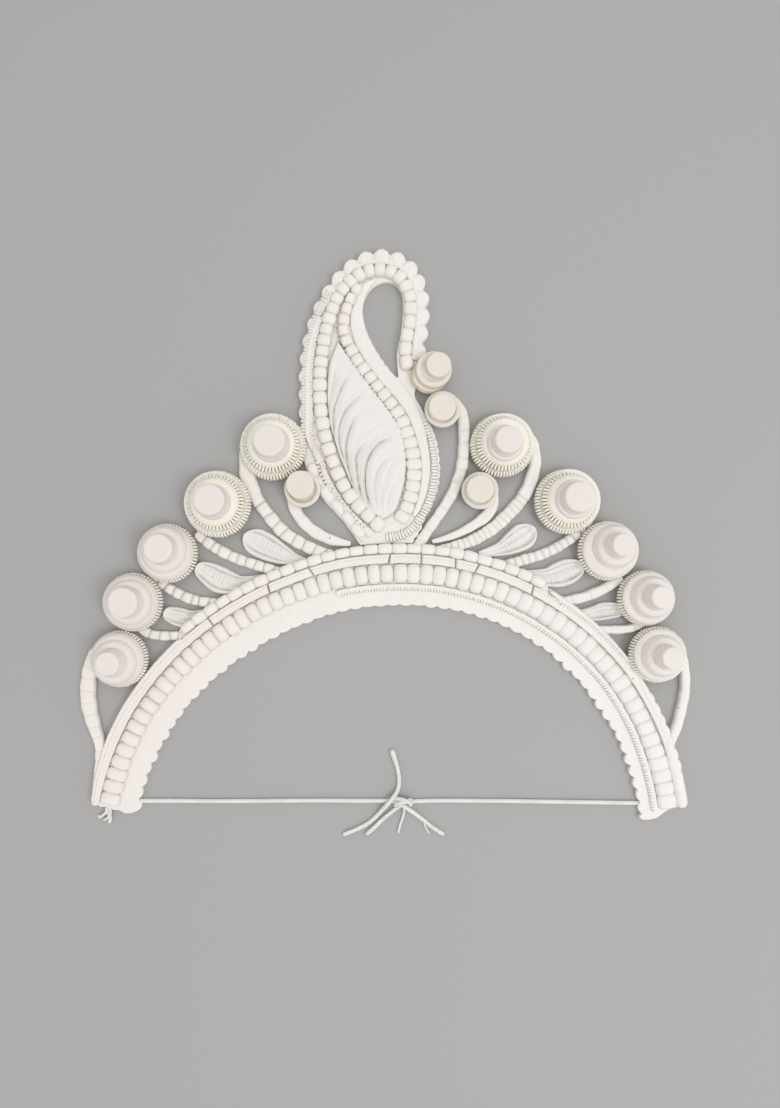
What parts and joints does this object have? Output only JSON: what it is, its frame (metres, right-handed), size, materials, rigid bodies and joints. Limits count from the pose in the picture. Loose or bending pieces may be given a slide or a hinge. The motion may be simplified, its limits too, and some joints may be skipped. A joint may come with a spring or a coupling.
{
  "type": "bridal crown",
  "caption": "Flat festive bridal crown of carved white pith: beaded half-round head band with a hooked paisley, fan of turned buttons on curved stems, and a cotton tie.",
  "frame": {"origin": "middle of the crown's outline, on the surface that its flat back rests on", "axes": "+X to the right across the crown, +Y towards the top of the paisley, +Z out of its front"},
  "size_m": [0.2484, 0.2393, 0.02],
  "materials": {
    "pith": "matte, soft white pith",
    "pith_disc": "matte white pith, cream in its cuts",
    "pith_cap": "smooth matte pith",
    "cotton": "soft twisted cotton"
  },
  "bodies": {
    "root": {"base_arch": "pith", "ridge_strip": "pith", "inner_strip": "pith", "edge_strip_right": "pith", "band_beads_left": "pith", "band_beads_right": "pith", "crest_beads": "pith", "paisley_plate": "pith", "paisley_border": "pith", "paisley_strip": "pith", "paisley_beads_outer": "pith", "paisley_beads_inner": "pith", "paisley_leaf": "pith", "stem_left_1": "pith", "stem_left_2": "pith", "stem_left_3": "pith", "stem_left_4": "pith", "stem_left_5": "pith", "stem_right_1": "pith", "stem_right_2": "pith", "stem_right_3": "pith", "stem_right_4": "pith", "stem_right_5": "pith", "stem_small_left": "pith", "stem_small_right": "pith", "stem_neck": "pith", "disc_left_1": "pith_disc", "disc_left_2": "pith_disc", "disc_left_3": "pith_disc", "disc_left_4": "pith_disc", "disc_left_5": "pith_disc", "disc_right_1": "pith_disc", "disc_right_2": "pith_disc", "disc_right_3": "pith_disc", "disc_right_4": "pith_disc", "disc_right_5": "pith_disc", "cap_left_1": "pith_cap", "cap_left_2": "pith_cap", "cap_left_3": "pith_cap", "cap_left_4": "pith_cap", "cap_left_5": "pith_cap", "cap_right_1": "pith_cap", "cap_right_2": "pith_cap", "cap_right_3": "pith_cap", "cap_right_4": "pith_cap", "cap_right_5": "pith_cap", "button_left": "pith_cap", "button_right": "pith_cap", "button_hook": "pith_cap", "button_neck": "pith_cap", "petal_left_1": "pith", "petal_left_2": "pith", "petal_left_3": "pith", "petal_right_1": "pith", "petal_right_2": "pith", "petal_right_3": "pith", "tie_left": "cotton", "tie_right": "cotton", "tie_tail": "cotton", "tie_knot": "cotton"}
  },
  "joints": []
}
